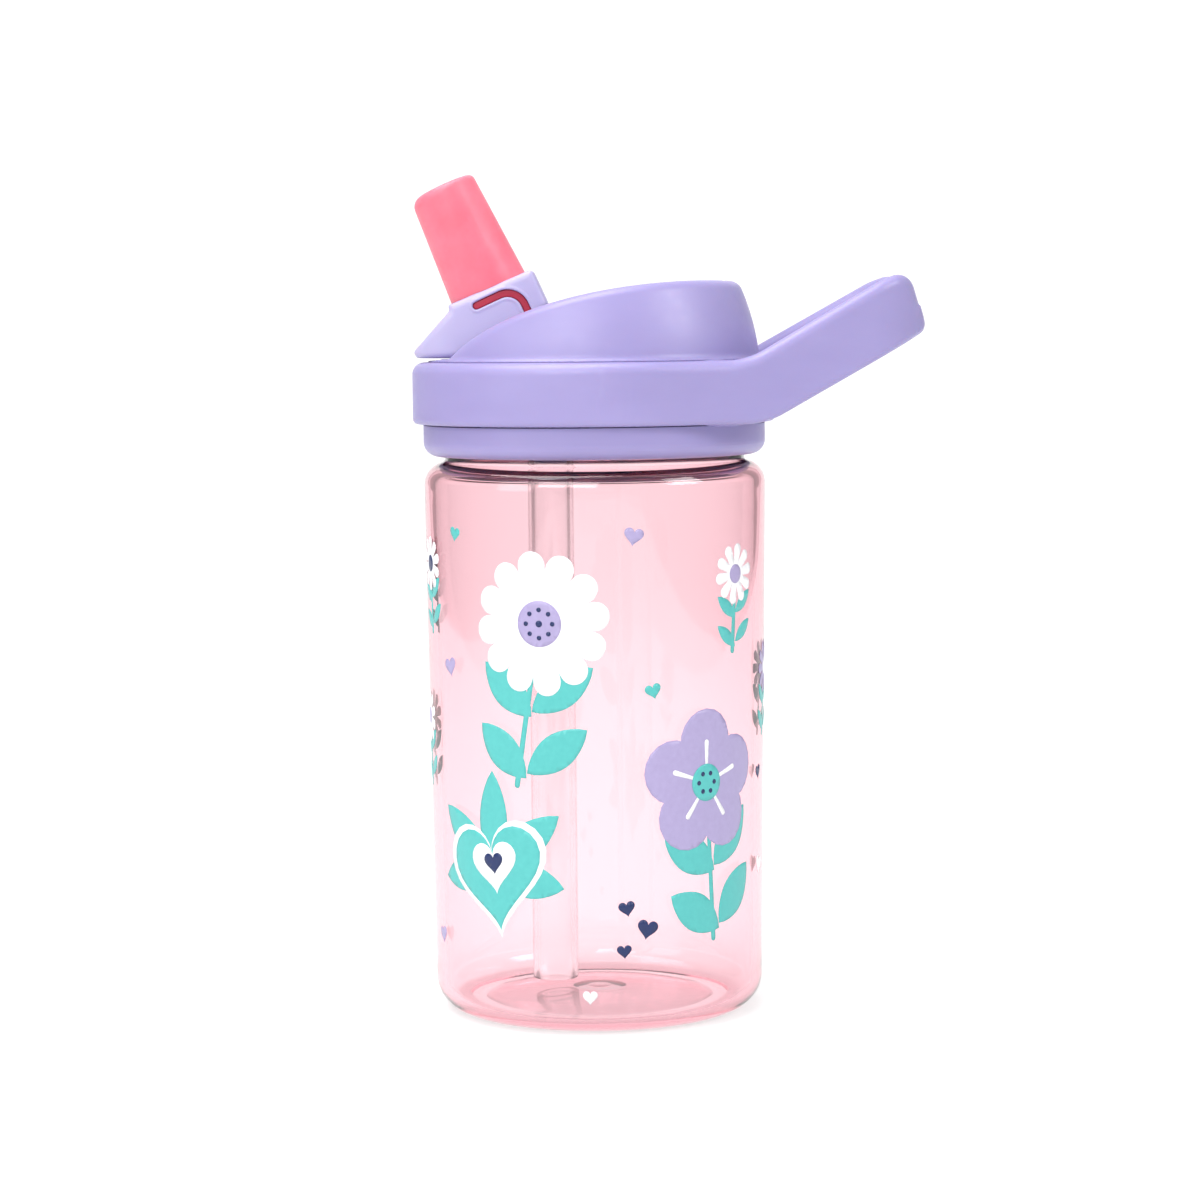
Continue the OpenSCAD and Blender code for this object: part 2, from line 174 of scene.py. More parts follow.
class Space:
    """A block of space, sampled so that Y = 0 falls on a plane of samples."""

    def __init__(self, low, high, pitch):
        self.pitch = pitch
        first = np.floor(np.array(low) / pitch) - 2
        last = np.ceil(np.array(high) / pitch) + 2
        self.first = first
        axes = [pitch * np.arange(a, b + 1, dtype=np.float32) for a, b in zip(first, last)]
        self.x, self.y, self.z = np.meshgrid(*axes, indexing="ij", sparse=True)
        self.shape = tuple(len(a) for a in axes)

    def surface(self, field):
        """Points and quads of the surface where the field is zero."""
        limit = 3 * self.pitch
        block = np.ascontiguousarray(np.broadcast_to(field, self.shape).clip(-limit, limit), dtype=np.float32)
        grid = openvdb.FloatGrid(limit)
        grid.copyFromArray(block)
        points, quads = grid.convertToQuads(isovalue=0)
        return (points + self.first) * self.pitch, quads.tolist()


def meet(a, b, r=0.0):
    """What two shapes share, with its edge rounded."""
    return np.minimum(np.maximum(a, b), -r) + np.hypot(np.maximum(a + r, 0), np.maximum(b + r, 0))


def join(a, b, r=0.0):
    """Two shapes as one, with a fillet where they join."""
    return -meet(-a, -b, r)


def carve(a, b, r=0.0):
    """The first shape without the second, with its edge rounded."""
    return meet(a, -b, r)


def outline_field(u, w, outline):
    """Distance to a closed outline in one plane."""
    nearest = np.inf
    inside = np.zeros(np.broadcast(u, w).shape, bool)
    points = np.array(outline, dtype=float)
    for start, end in zip(points, np.roll(points, -1, axis=0)):
        run, rise = end - start
        along = np.clip(((u - start[0]) * run + (w - start[1]) * rise) / (run * run + rise * rise), 0, 1)
        nearest = np.minimum(nearest, (u - start[0] - along * run) ** 2 + (w - start[1] - along * rise) ** 2)
        if rise:
            crossing = start[0] + run * (w - start[1]) / rise
            inside ^= ((start[1] > w) != (end[1] > w)) & (u < crossing)
    return np.where(inside, -1, 1) * np.sqrt(nearest)


def rounded(corners, steps=8):
    """The points of an outline whose corners, (x, y, radius), are rounded."""
    points = []
    for i, (x, y, r) in enumerate(corners):
        corner = np.array([x, y])
        back = np.array(corners[i - 1][:2]) - corner
        ahead = np.array(corners[(i + 1) % len(corners)][:2]) - corner
        back = back / np.linalg.norm(back)
        ahead = ahead / np.linalg.norm(ahead)
        if not r:
            points.append(corner)
            continue
        half = math.acos(np.clip(back @ ahead, -1, 1)) / 2
        middle = (back + ahead) / np.linalg.norm(back + ahead)
        centre = corner + middle * r / math.sin(half)
        first = corner + back * r / math.tan(half) - centre
        last = corner + ahead * r / math.tan(half) - centre
        turn = math.pi - 2 * half
        for t in np.linspace(0, 1, steps + 1):
            swung = first * math.sin(turn * (1 - t)) + last * math.sin(turn * t)
            points.append(centre + swung / math.sin(turn))
    return points


def oval_field(u, v, half_u, half_v):
    """Distance to an oval, close to exact near its edge."""
    scale = np.sqrt((u / half_u) ** 2 + (v / half_v) ** 2) + 1e-6
    slope = np.sqrt((u / half_u ** 2) ** 2 + (v / half_v ** 2) ** 2) + 1e-6
    return scale * (scale - 1) / slope


# ---------- materials ----------

def srgb(r, g, b):
    """A linear colour from 0-255 values."""
    def linear(value):
        value = value / 255
        return value / 12.92 if value <= 0.04045 else ((value + 0.055) / 1.055) ** 2.4
    return (linear(r), linear(g), linear(b), 1.0)


def new_material(name, **values):
    """A material with one Principled shader, and its shader's plain values."""
    material = bpy.data.materials.new(name)
    material.use_nodes = True
    shader = material.node_tree.nodes["Principled BSDF"]
    for socket, value in values.items():
        shader.inputs[socket.replace("_", " ")].default_value = value
    return material, material.node_tree, shader


def noise(tree, scale, detail, roughness=0.5, stretch=(1, 1, 1)):
    """Noise in the piece's own coordinates; the scale is per metre."""
    place = tree.nodes.new("ShaderNodeTexCoord")
    mapping = tree.nodes.new("ShaderNodeMapping")
    mapping.inputs["Scale"].default_value = stretch
    texture = tree.nodes.new("ShaderNodeTexNoise")
    texture.inputs["Scale"].default_value = scale
    texture.inputs["Detail"].default_value = detail
    texture.inputs["Roughness"].default_value = roughness
    tree.links.new(place.outputs["Object"], mapping.inputs["Vector"])
    tree.links.new(mapping.outputs["Vector"], texture.inputs["Vector"])
    return texture.outputs["Fac"]


def spread(tree, value, low, high):
    """Takes noise, which mostly lies between 0.3 and 0.7, to the range low to high."""
    node = tree.nodes.new("ShaderNodeMapRange")
    node.inputs["From Min"].default_value = 0.3
    node.inputs["From Max"].default_value = 0.7
    node.inputs["To Min"].default_value = low
    node.inputs["To Max"].default_value = high
    tree.links.new(value, node.inputs["Value"])
    return node.outputs["Result"]


def blend_colours(tree, factor, first, second):
    """The first colour where the factor is 0, the second where it is 1."""
    node = tree.nodes.new("ShaderNodeMix")
    node.data_type = "RGBA"
    node.inputs[6].default_value = first
    node.inputs[7].default_value = second
    tree.links.new(factor, node.inputs[0])
    return node.outputs[2]


def add_bump(tree, shader, height, depth_mm, strength):
    """Fine relief on a shader, from a 0-1 height."""
    node = tree.nodes.new("ShaderNodeBump")
    node.inputs["Strength"].default_value = strength
    node.inputs["Distance"].default_value = depth_mm * MM
    tree.links.new(height, node.inputs["Height"])
    tree.links.new(node.outputs["Normal"], shader.inputs["Normal"])


def moulded_plastic(name, light, dark, gloss=0.38):
    """Opaque moulded plastic: faint flow marks in its colour, and a fine satin grain."""
    material, tree, shader = new_material(name, IOR=1.5, Subsurface_Weight=0.12, Subsurface_Scale=0.002)
    flow = noise(tree, 45, detail=3, stretch=(1, 1, 2.5))
    grain = noise(tree, 2600, detail=2)
    scuffs = noise(tree, 260, detail=8, roughness=0.7)
    tree.links.new(blend_colours(tree, spread(tree, flow, 0, 1), dark, light), shader.inputs["Base Color"])
    tree.links.new(spread(tree, scuffs, gloss - 0.06, gloss + 0.08), shader.inputs["Roughness"])
    add_bump(tree, shader, grain, 0.02, 0.35)
    return material


def clear_plastic(name, tint, density, haze, roughness):
    """Clear moulded plastic that takes its colour from its thickness."""
    material, tree, shader = new_material(name, Base_Color=(1, 1, 1, 1), Transmission_Weight=1.0, IOR=1.5)
    smears = noise(tree, 90, detail=6, roughness=0.65)
    waves = noise(tree, 60, detail=1, stretch=(1, 1, 0.4))
    tree.links.new(spread(tree, smears, roughness, roughness + haze), shader.inputs["Roughness"])
    add_bump(tree, shader, waves, 0.05, 0.2)
    absorption = tree.nodes.new("ShaderNodeVolumeAbsorption")
    absorption.inputs["Color"].default_value = tint
    absorption.inputs["Density"].default_value = density
    tree.links.new(absorption.outputs["Volume"], tree.nodes["Material Output"].inputs["Volume"])
    return material


def silicone(name, light, dark, weight, radius, roughness=0.42):
    """Soft silicone: light goes a little way in, and the skin is slightly dusty."""
    material, tree, shader = new_material(
        name, Subsurface_Weight=weight, Subsurface_Radius=radius, Subsurface_Scale=0.004, IOR=1.41)
    cloud = noise(tree, 120, detail=3)
    dust = noise(tree, 900, detail=5, roughness=0.6)
    tree.links.new(blend_colours(tree, spread(tree, cloud, 0, 1), dark, light), shader.inputs["Base Color"])
    tree.links.new(spread(tree, dust, roughness - 0.07, roughness + 0.08), shader.inputs["Roughness"])
    add_bump(tree, shader, dust, 0.01, 0.3)
    return material


def ink(name, colour, thin):
    """Screen-printed ink: opaque, with a slight mottle and a soft sheen."""
    material, tree, shader = new_material(name, IOR=1.48)
    mottle = noise(tree, 700, detail=4, roughness=0.6)
    weave = noise(tree, 3200, detail=1)
    tree.links.new(blend_colours(tree, spread(tree, mottle, 0, 1), thin, colour), shader.inputs["Base Color"])
    tree.links.new(spread(tree, mottle, 0.3, 0.42), shader.inputs["Roughness"])
    add_bump(tree, shader, weave, 0.006, 0.4)
    return material


lavender = moulded_plastic("lavender_plastic", srgb(150, 141, 190), srgb(145, 136, 185))
spout_plastic = moulded_plastic("spout_plastic", srgb(178, 171, 208), srgb(173, 166, 203))
pink_clear = clear_plastic("pink_clear_plastic", (0.975, 0.42, 0.53, 1), 165.0, 0.03, 0.01)
straw_clear = clear_plastic("straw_plastic", (0.97, 0.85, 0.88, 1), 40.0, 0.08, 0.08)
valve_pink = silicone("valve_silicone", srgb(236, 124, 142), srgb(229, 112, 131), 0.9, (1.0, 0.3, 0.3))
# A darker copy of the valve's silicone that lets less light in: painted shade for the valve's ribs deep in
# the shroud's slots.
valve_pink_painted_shade = silicone("valve_silicone_painted_shade", srgb(190, 52, 74), srgb(176, 44, 66), 0.3, (1.0, 0.3, 0.3))
seal_white = silicone("seal_silicone", srgb(228, 228, 232), srgb(216, 217, 223), 0.6, (1.0, 0.9, 0.9))
inks = {
    "white": ink("white_ink", srgb(240, 240, 241), srgb(233, 233, 236)),
    "teal": ink("teal_ink", srgb(84, 184, 180), srgb(78, 177, 174)),
    "lavender": ink("lavender_ink", srgb(166, 155, 195), srgb(160, 149, 189)),
    "navy": ink("navy_ink", srgb(28, 45, 94), srgb(24, 40, 86)),
}


# ---------- bottle ----------

# The base is part of a sphere inside the ring it stands on, with the mark of the moulding gate in its middle.
foot_r = body_r - taper - foot_corner
foot_ring_r = foot_r - 4.5
foot_ring_half = 0.6
base_sphere_r = (foot_ring_r ** 2 + push_up ** 2) / (2 * push_up)
gate_r = 5.0
gate_depth = 0.4
gate_bevel = 0.3
neck_fillet = 0.4
mouth_round = 0.6
edge_row = 2.0  # from an end to the first row of points past its rounded edge

# The thread has sloping flanks and fades out over a twelfth of a turn.
thread_pitch = 4.0
thread_depth = 1.0
thread_turns = 1.5
thread_start = shoulder_z + 3
thread_foot_half = 1.25
thread_flank = 0.6
thread_fade = 1 / 12


def wall_radius(z):
    """Outer radius of the tapered wall."""
    span = shoulder_z - shoulder_corner - foot_corner
    return body_r - taper + taper * np.clip((z - foot_corner) / span, 0, 1)


def dished(r, base_z):
    """Height of the domed base at a radius, for a dome that peaks at base_z."""
    return base_z - base_sphere_r + math.sqrt(base_sphere_r ** 2 - r * r)


def bottle_profile():
    """Up the outside from the middle of the base, over the mouth, and down the inside."""
    shoulder_r = body_r - shoulder_corner
    shoulder_centre = (shoulder_r, shoulder_z - shoulder_corner)
    neck_turn = math.degrees(math.acos((neck_r + neck_fillet - shoulder_r) / shoulder_corner))
    low_r = wall_radius(foot_corner)
    wall_low, wall_high = foot_corner + 1, shoulder_z - shoulder_corner - 1
    gate_z = push_up + gate_depth
    outside = [(0, gate_z), (gate_r / 2, gate_z), (gate_r - gate_bevel, gate_z)]
    outside += [(r, dished(r, push_up)) for r in np.linspace(gate_r, foot_ring_r - foot_ring_half, 24)]
    outside += [(foot_ring_r + foot_ring_half, 0.0), (foot_r, 0.0)]
    outside += arc((foot_r, foot_corner), foot_corner, -85, 0, 20)
    outside += straight((low_r, wall_low), (body_r, wall_high), 30)
    outside += arc(shoulder_centre, shoulder_corner, 0, neck_turn, 20)
    outside += [(neck_r, shoulder_z + neck_fillet)]
    outside += straight((neck_r, shoulder_z + 2 * neck_fillet), (neck_r, mouth_z - mouth_round), 56)
    outside += arc((neck_r - mouth_round, mouth_z - mouth_round), mouth_round, 0, 90, 5)

    inside = arc((neck_in_r + mouth_round, mouth_z - mouth_round), mouth_round, 90, 180, 5)
    inside += straight((neck_in_r, mouth_z - edge_row), (neck_in_r, shoulder_z - wall), 4)
    inside += arc(shoulder_centre, shoulder_corner - wall, 90, 0, 12)
    inside += straight((body_r - wall, wall_high), (low_r - wall, wall_low), 30)
    inner_corner = foot_corner - wall
    corner_turn = 60
    inside += arc((foot_r, foot_corner), inner_corner, 0, -corner_turn, 14)
    inner_base = push_up + floor_t
    start_r = foot_r + inner_corner * math.cos(math.radians(corner_turn))
    start_z = foot_corner - inner_corner * math.sin(math.radians(corner_turn))
    meet_r = foot_r - 3
    drop = dished(meet_r, inner_base) - start_z
    for t in (0.25, 0.5, 0.75):
        inside.append((start_r + (meet_r - start_r) * t, start_z + drop * t * t * (3 - 2 * t)))
    inside += [(r, dished(r, inner_base)) for r in np.linspace(meet_r, 0, 24)]
    return outside + inside


def thread_ridge(radius, height, angle):
    """How far the neck's screw thread stands out, fading in and out at its ends."""
    swell = np.zeros_like(radius + angle)
    for lap in range(math.ceil(thread_turns)):
        turned = lap + angle / (2 * math.pi)
        offset = np.abs(height - thread_start - thread_pitch * turned)
        fade = np.clip(np.minimum(turned, thread_turns - turned) / thread_fade, 0, 1)
        ridge = thread_depth * np.clip((thread_foot_half - offset) / thread_flank, 0, 1)
        swell = np.maximum(swell, ridge * fade)
    on_neck = np.abs(radius - neck_r) < 0.01
    return np.where(on_neck, swell, 0)


add_piece("bottle", *lathe(bottle_profile(), turns=256, ridge=thread_ridge),
          "bottle", "clear_bottle", pink_clear, "bottle_body")


# ---------- straw ----------

straw_x = (straw_low[0] + straw_high[0]) / 2
straw_r = (straw_high[0] - straw_low[0]) / 2
straw_in_r = straw_r - 1.3
straw_round = 0.3


def straw_profile():
    """Round the tube's wall, whose four corners are rounded."""
    low, high = straw_low[2], straw_high[2]
    low_round, high_round = low + straw_round, high - straw_round
    low_row, high_row = low + edge_row, high - edge_row
    outside = arc((straw_r - straw_round, low_round), straw_round, -90, 0, 4)
    outside += straight((straw_r, low_row), (straw_r, high_row), 20)
    outside += arc((straw_r - straw_round, high_round), straw_round, 0, 90, 4)
    inside = arc((straw_in_r + straw_round, high_round), straw_round, 90, 180, 4)
    inside += straight((straw_in_r, high_row), (straw_in_r, low_row), 20)
    inside += arc((straw_in_r + straw_round, low_round), straw_round, 180, 270, 4)
    return outside + inside


add_piece("drinking_straw", *lathe(straw_profile(), turns=96, closed=True, centre_x=straw_x),
          "cap", "clear_straw", straw_clear, "straw")


# ---------- carry loop and collar ----------

# The strap's rounded end leans back, so it stops a little short of the reach that its outlines are drawn to.
# Its upper edge drops from a crown near the end, and runs level into the collar.
strap_t = 5.0
loop_end_r = 20.0
loop_reach = loop_high[0] + 0.83
strap_slope = math.tan(math.radians(28.4))
strap_low_bend = collar_r - 3.3
strap_high_bend = collar_r - 7.5
strap_bend_r = 17
strap_end_h = 12.5
strap_end_lean = math.tan(math.radians(21))
strap_low_round, strap_high_round = 2.2, 4
strap_crown_back, strap_crown_drop, strap_crown_round = 6.3, 2.4, 12
strap_mid_h = 6.0
strap_top_edge, strap_low_edge = 2.4, 1.0
collar_top_edge, collar_low_edge = 2.5, 1.0
fill_r = 4.0


def tangent_hull(x, y, big_r, small_r, apart):
    """Distance to two circles with their outer tangents, one on the axis and one further along X."""
    lean = (big_r - small_r) / apart
    level = math.sqrt(1 - lean * lean)
    across = np.abs(y)
    along = -lean * across + level * x
    beside = level * across + lean * x - big_r
    hull = np.where(along < 0, np.hypot(across, x) - big_r, beside)
    return np.where(along > level * apart, np.hypot(across, x - apart) - small_r, hull)


def strap_outline():
    """The strap from the side: level at the collar, then rising to its rounded end, which leans back."""
    end_x = loop_reach - 0.3
    end_z = collar_low + (end_x - strap_low_bend) * strap_slope
    tip_x, tip_z = end_x - strap_end_h * strap_end_lean, end_z + strap_end_h
    return rounded([
        (0, collar_low, 0),
        (strap_low_bend, collar_low, strap_bend_r),
        (end_x, end_z, strap_low_round),
        (tip_x, tip_z, strap_high_round),
        (tip_x - strap_crown_back, tip_z - strap_crown_drop, strap_crown_round),
        (strap_high_bend, collar_top, strap_bend_r),
        (0, collar_top, 0),
    ])


def carry_loop():
    """The collar band and the loop in one, filleted where the strap's inner side leaves the collar."""
    space = Space(loop_low, loop_high, 0.42)
    x, y, z = space.x, space.y, space.z
    radius = np.hypot(x, y)
    ring_r = collar_r - 0.09  # keeps the facets inside the CAD box
    ring = meet(radius - ring_r, z - collar_top, collar_top_edge)
    ring = meet(ring, collar_low - z, collar_low_edge)
    hull = tangent_hull(x, y, collar_r, loop_end_r, loop_reach - loop_end_r)
    plan = np.abs(hull + strap_t / 2) - strap_t / 2
    side = outline_field(x, z, strap_outline())
    lower_edge = collar_low + np.maximum(x - strap_low_bend, 0) * strap_slope
    edge_r = np.where(z - lower_edge > strap_mid_h, strap_top_edge, strap_low_edge)
    strap = meet(plan, side, edge_r)
    strap = np.maximum(strap, collar_in_r + lip_w - radius)
    fillet = fill_r * np.clip((-hull - strap_t / 2) / strap_t, 0, 1)
    whole = join(ring, strap, fillet)
    skirt_cover = np.maximum(radius - skirt_r + 0.5, np.maximum(collar_low - 0.3 - z, z - collar_low - 2))
    hole = np.minimum(radius - lip_r, np.maximum(radius - collar_in_r, z - deck_top - 0.2))
    return space.surface(carve(np.minimum(whole, skirt_cover), hole))


add_piece("carry_loop", *carry_loop(), "cap", "cap_plastic", lavender, "carry_handle")


# ---------- dome ----------

# The dome's side bulges out a little, and its top follows an ellipse up to the crown and then runs level.
bulge_r = 50.0
bulge_z = collar_top - 4.5
plate_low = collar_top - 0.15
plate_top = collar_top + 0.6
dome_t = 2.0
dome_edge = 1.6
dome_foot_r = lip_r - gap
crown_x, crown_a, crown_b = 26.0, 60.0, 24.7
flare_w, flare_round = 0.9, 1.4
channel_half = 10.6
channel_edge = 0.8
channel_back = hinge[0] + mouth_w + valve_h + 0.5
channel_front = hinge[0] - 5.2
pin_hole_r = trunnion_r + 0.06


def box_field(x, y, z, x_span, half_y, z_span):
    """Distance-like field of a block centred on Y = 0."""
    across = np.maximum(x_span[0] - x, x - x_span[1])
    upright = np.maximum(z_span[0] - z, z - z_span[1])
    return np.maximum(np.maximum(across, np.abs(y) - half_y), upright)


def dome():
    """The hollow dome with its foot in the collar, the spout's channel and the holes for the hinge pins."""
    space = Space(dome_low, dome_high, 0.4)
    x, y, z = space.x, space.y, space.z
    radius = np.hypot(x, y)
    bulge_x = cap_wall_r - math.sqrt(bulge_r ** 2 - (plate_top - bulge_z) ** 2)
    wall_field = np.hypot(radius - bulge_x, z - bulge_z) - bulge_r
    top = oval_field(np.minimum(x, crown_x) - crown_x, z - (crown_z - crown_b), crown_a, crown_b)
    outer = meet(wall_field, top, dome_edge)
    flare = np.maximum(radius - cap_wall_r - flare_w, z - collar_top - 0.02)
    outer = np.maximum(join(outer, flare, flare_round), plate_low - z)
    shell = np.maximum(outer, -(outer + dome_t))

    hollow = dome_foot_r - dome_t - radius
    foot = np.maximum(radius - dome_foot_r, np.maximum(z - plate_top, deck_top - z))
    plate = np.maximum(np.maximum(radius - cap_wall_r, plate_low - z), z - plate_top)
    rim = np.maximum(np.minimum(foot, plate), hollow)

    high = crown_z + beyond
    walls = box_field(x, y, z, (-collar_r, channel_back + dome_t), channel_half + dome_t, (deck_top, high))
    core = np.minimum(outer, np.maximum(radius - dome_foot_r, np.maximum(z - plate_low, deck_top - z)))
    solid = np.minimum(np.minimum(shell, np.maximum(walls, core)), rim)
    slot = box_field(x, y, z, (channel_front, channel_back), channel_half, (deck_top - beyond, high))
    front = box_field(x, y, z, (-collar_r - beyond, 0), channel_half, (plate_top, high))
    solid = carve(solid, np.minimum(slot, front), channel_edge)
    pin_hole = np.maximum(np.hypot(x - hinge[0], z - hinge[2]) - pin_hole_r, np.abs(y) - cap_wall_r / 2)
    return space.surface(np.maximum(solid, -pin_hole))


add_piece("dome", *dome(), "cap", "cap_plastic", lavender, "dome_cover")


# ---------- spout ----------

# u runs across the leaning valve and w along it, both from the hinge. The shroud's sides have a hook-shaped
# slot each, with a raised bead round it.
barrel_r = 4.8
shroud_half = 10.2
shroud_edge = 1.3
shroud_back, shroud_back_low = 7.6, 7.6
keel_front, keel_back = -18.4, -1.0
underside = -1.1
nose_u, nose_w = -23.5, 10.75
valve_u = -2.7
valve_base, valve_base_side = 17.1, 18.0
valve_narrowing, valve_side_narrowing = 2.9, 1.6
nozzle_r, nozzle_bore_r = 4.4, 2.6
port_r, turn_r = 2.2, 2.4
socket_floor = 8.0
hook_bend = (-0.9, 9.7)
hook_bend_r = 4.0
hook_tip_u, hook_foot_w = -6.3, 6.4
hook_half = 0.82
hook_reach = 5.8
bead_offset, bead_flat, bead_r = 1.1, 0.1, 0.22
fine_edge = 0.15


def leaned(x, z):
    """The place of a point on the valve's own axis: across it, and along it, from the hinge."""
    x, z = x - hinge[0], z - hinge[2]
    c, s = math.cos(spout_lean), math.sin(spout_lean)
    return x * c + z * s, z * c - x * s


def valve_half(w):
    """Half widths of the tapered valve: across, and side to side."""
    t = (w - mouth_w) / valve_h
    return (valve_base - valve_narrowing * t) / 2, (valve_base_side - valve_side_narrowing * t) / 2


def shroud_outline():
    """The shroud from the side: nose, front slope, mouth, back and the level underside."""
    front = leaned(hinge[0] + keel_front, hinge[2] + underside)
    back = leaned(hinge[0] + keel_back, hinge[2] + underside)
    mouth_front = valve_u - valve_half(mouth_w)[0] - 0.5
    return rounded([
        (nose_u, nose_w, 0.5),
        (nose_u + 0.6, nose_w - 1.6, 0.6),
        (*front, 3),
        (*back, 0),
        (barrel_r / 2, barrel_r * 0.8, 0),
        (shroud_back, shroud_back_low, 1.2),
        (shroud_back, mouth_w - 0.5, 0.9),
        (mouth_front, mouth_w, 0.2),
        (mouth_front - 0.2, mouth_w - 1.2, 1),
        (nose_u + 2.8, nose_w + 0.7, 3),
    ])


def hook_field(u, w):
    """Distance to the centre line of the hook-shaped slot: straight, then a quarter bend, then down."""
    bend_u, bend_w = hook_bend
    flat = np.hypot(u - np.clip(u, hook_tip_u, bend_u), w - bend_w - hook_bend_r)
    down = np.hypot(u - bend_u - hook_bend_r, w - np.clip(w, hook_foot_w, bend_w))
    bend = np.abs(np.hypot(u - bend_u, w - bend_w) - hook_bend_r)
    bend = np.where((u >= bend_u) & (w >= bend_w), bend, np.inf)
    return np.minimum(np.minimum(flat, down), bend)


def spout():
    """The shroud with its barrel, pins and nozzle, its hook-shaped slots and the drink's way through."""
    space = Space(spout_low, spout_high, 0.3)
    x, y, z = space.x, space.y, space.z
    u, w = leaned(x, z)
    across = np.abs(y)
    from_hinge = np.hypot(x - hinge[0], z - hinge[2])
    from_axis = np.hypot(u - valve_u, y)

    bow_x = spout_low[0] + shroud_half
    plan = np.where(x < bow_x, np.hypot(x - bow_x, y), across) - shroud_half
    shroud = meet(outline_field(u, w, shroud_outline()), plan, shroud_edge)
    barrel = np.maximum(from_hinge - barrel_r, across - shroud_half)
    half_u, half_v = valve_half(w)
    socket = np.maximum(oval_field(u - valve_u, y, half_u + 0.1, half_v + 0.1), socket_floor - w)
    shroud = carve(np.minimum(shroud, barrel), socket, 0.35)
    pins = np.maximum(from_hinge - trunnion_r, across - spout_high[1])
    nozzle = np.maximum(from_axis - nozzle_r, np.maximum(w - mouth_w - 6, 3 - w))
    solid = np.minimum(np.minimum(shroud, pins), nozzle)

    hook = hook_field(u, w)
    beside = np.maximum(np.abs(hook - bead_offset) - bead_flat, 0)
    bead = np.hypot(beside, np.maximum(across - shroud_half, 0)) - bead_r
    solid = join(solid, np.maximum(bead, shroud_half - 0.5 - across), fine_edge)
    solid = carve(solid, np.maximum(hook - hook_half, hook_reach - across), fine_edge)

    bore = np.maximum(from_axis - nozzle_bore_r, 5 - w)
    turn_in = np.hypot(u - valve_u * np.clip(w / 6, 0, 1), y) - turn_r
    turn_in = np.maximum(turn_in, np.maximum(-w, w - 7))
    port = np.maximum(np.hypot(x - hinge[0], y) - port_r, z - hinge[2])
    return space.surface(carve(solid, np.minimum(np.minimum(bore, turn_in), port)))


add_piece("flip_spout_shell", *spout(), "flip_spout", "cap_plastic", spout_plastic, "spout")


# ---------- bite valve ----------

valve_crown = 0.002  # the tip falls by this times the square of the distance from its middle
valve_skin_t = 2.4
slit_half_w, slit_half_l = 0.15, 4
rib_half = 0.6
rib_sink = 2


def bite_valve():
    """The hollow valve with its slit and ribs; its tip is crowned, and rounder on the drinker's side."""
    space = Space(valve_low, valve_high, 0.3)
    u, w = leaned(space.x, space.z)
    u = u - valve_u
    across = np.abs(space.y)
    from_tip = w - mouth_w - valve_h
    body = oval_field(u, space.y, *valve_half(w))
    tip = from_tip + 0.05 + valve_crown * u ** 2
    body = meet(body, tip, np.clip(1.6 - 0.1 * u, 1.2, 2.2))
    body = np.maximum(body, socket_floor + 0.1 - w)
    rib_span = np.maximum(hook_reach + 0.1 - across, across - shroud_half + rib_sink)
    rib = np.maximum(hook_field(u + valve_u, w) - rib_half, rib_span)
    solid = join(body, rib, 0.2)
    bore = np.maximum(np.hypot(u, space.y) - nozzle_r - 0.05, from_tip + valve_skin_t)
    slit = np.maximum(np.maximum(np.abs(u) - slit_half_w, across - slit_half_l), mouth_w + 10 - w)
    return space.surface(carve(solid, np.minimum(bore, slit), 0.2))


add_piece("soft_valve", *bite_valve(), "flip_spout", "valve_silicone", valve_pink, "bite_valve")


def hook_slot_painted_shade():
    """The outer face of the valve's hook-shaped ribs, deep in the shroud's slots, in a darker copy of the
    valve's silicone: painted shade for the deep slots.
    """
    space = Space(spout_low, spout_high, 0.22)
    across = np.abs(space.y)
    hook = hook_field(*leaned(space.x, space.z))
    depth = np.maximum(shroud_half - rib_sink - across, across - shroud_half + 0.45)
    return space.surface(meet(hook - hook_half + 0.04, depth, 0.2))


# Painted shade: the ribs in the slots get the darker copy of the valve's silicone.
add_piece("hook_slot_painted_shade", *hook_slot_painted_shade(), "flip_spout", "valve_silicone", valve_pink_painted_shade)


# ---------- print on the wall ----------
# Motifs are drawn flat: right is along the wall from its front, up is up, in millimetres.

def circle(x, y, r, steps=28):
    """The outline of a circle."""
    return arc((x, y), r, 0, 360, steps)[:-1]


def capsule(start, end, start_r, end_r):
    """The outline of two circles with their outer tangents."""
    run = np.array(end) - start
    apart = float(np.hypot(*run))
    if apart <= abs(start_r - end_r):
        return circle(*start, start_r)
    facing = math.degrees(math.atan2(run[1], run[0]))
    half = math.degrees(math.acos((start_r - end_r) / apart))
    round_end = arc(end, end_r, facing - half, facing + half, 14)
    round_start = arc(start, start_r, facing + half, facing + 360 - half, 14)
    return round_end + round_start


def leaf(base, tip, width):
    """A pointed leaf between two points."""
    base, tip = np.array(base, float), np.array(tip, float)
    across = np.array([-(tip - base)[1], (tip - base)[0]]) / np.linalg.norm(tip - base)
    edge = [(t, math.sin(math.pi * t) ** 0.8 * width / 2) for t in np.linspace(0, 1, 13)]
    one_side = [base + (tip - base) * t + across * h for t, h in edge]
    other_side = [base + (tip - base) * t - across * h for t, h in edge[-2:0:-1]]
    return [tuple(p) for p in one_side + other_side]


def petals(count, inner, reach, width):
    """Round-tipped petals about a centre, as outlines."""
    outlines = []
    first = 0.25  # in steps round, so that no petal points straight to the side
    for i in range(count):
        a = 2 * math.pi * (i + first) / count
        way = np.array([math.cos(a), math.sin(a)])
        outlines.append(capsule(way * inner, way * (reach - width / 2), width * 0.3, width / 2))
    return outlines


